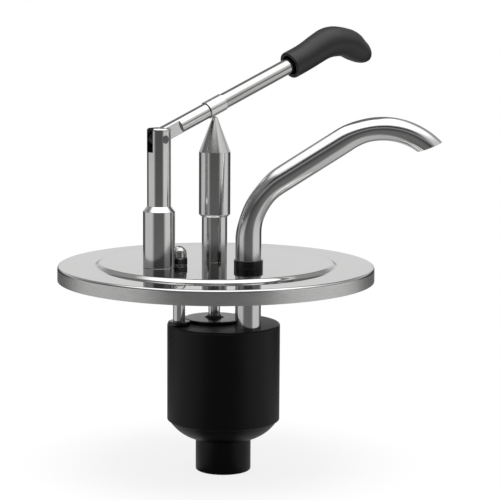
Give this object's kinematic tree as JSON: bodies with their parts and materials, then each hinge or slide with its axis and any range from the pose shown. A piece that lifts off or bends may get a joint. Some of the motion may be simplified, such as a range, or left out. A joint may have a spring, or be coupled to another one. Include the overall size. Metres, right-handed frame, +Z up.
{
  "type": "syrup dispenser",
  "caption": "Lever-action syrup pump on a round lift-off lid, with a bent spout, a sprung plunger, a black grip and a pump body hanging below the lid.",
  "frame": {"origin": "centre of the lid, on the underside of its flat rim, where the lid rests on the pot", "axes": "+Z up, +X the way the spout points, +Y to the back in the picture"},
  "size_m": [0.2385, 0.199, 0.2772],
  "materials": {
    "polished_steel": "polished stainless steel",
    "plain_steel": "plain stainless steel",
    "lid_steel": "mirror-polished sheet with a finely brushed skirt",
    "black_plastic": "turned black plastic, satin",
    "gloss_black_plastic": "moulded black plastic, glossy",
    "seal_rubber": "smooth black rubber",
    "bush_plastic": "natural bearing plastic",
    "piston_plastic": "turned white plastic",
    "grip_plastic": "moulded black grip, softly matt"
  },
  "bodies": {
    "base": {"lid": "lid_steel", "fulcrum_post": "polished_steel", "post_screw": "plain_steel", "post_washer": "plain_steel", "pivot_pin": "polished_steel", "guide_sleeve": "polished_steel", "sleeve_nut": "plain_steel", "rod_bush": "bush_plastic", "return_spring": "plain_steel", "acorn_nut": "polished_steel", "tie_rod": "polished_steel", "tie_rod_bush": "gloss_black_plastic", "spout_tube": "polished_steel", "spout_collar": "gloss_black_plastic", "spout_seal": "seal_rubber", "pump_body": "black_plastic", "cylinder_cap": "black_plastic", "cap_seal": "seal_rubber", "rod_wiper": "seal_rubber", "bottom_cap": "black_plastic", "bottom_seal": "seal_rubber", "inlet_foot": "black_plastic", "foot_seal": "seal_rubber", "inlet_cage": "plain_steel", "outlet_cage": "plain_steel"},
    "plunger": {"plunger_cap": "polished_steel", "piston_rod": "polished_steel", "piston": "piston_plastic", "piston_seal": "seal_rubber", "piston_washer": "plain_steel", "piston_nut": "plain_steel"},
    "lever": {"lever_rod": "polished_steel", "lever_tube": "polished_steel", "wear_sleeve": "polished_steel", "grip": "grip_plastic"},
    "inlet_valve": {"inlet_ball": "plain_steel"},
    "outlet_valve": {"outlet_ball": "plain_steel"}
  },
  "joints": [
    {"name": "lever_hinge", "type": "hinge", "parent": "base", "child": "lever", "pos_m": [-0.0347, -0.02486, 0.0819], "axis": [-0.5948, 0.8039, 0], "range_deg": [0, 32.9]},
    {"name": "plunger_slide", "type": "slide", "parent": "base", "child": "plunger", "axis": [0, 0, -1], "range_m": [0, 0.0247], "stiffness_N_per_m": 400, "springref_m": -0.03, "deforming": ["return_spring"]},
    {"name": "inlet_ball_lift", "type": "slide", "parent": "base", "child": "inlet_valve", "axis": [0, 0, 1], "range_m": [0, 0.0025]},
    {"name": "outlet_ball_lift", "type": "slide", "parent": "base", "child": "outlet_valve", "axis": [0, 0, 1], "range_m": [0, 0.0025]}
  ],
  "couplings": [
    {"joint": "plunger_slide", "follows": "lever_hinge", "m_per_rad": 0.043}
  ]
}
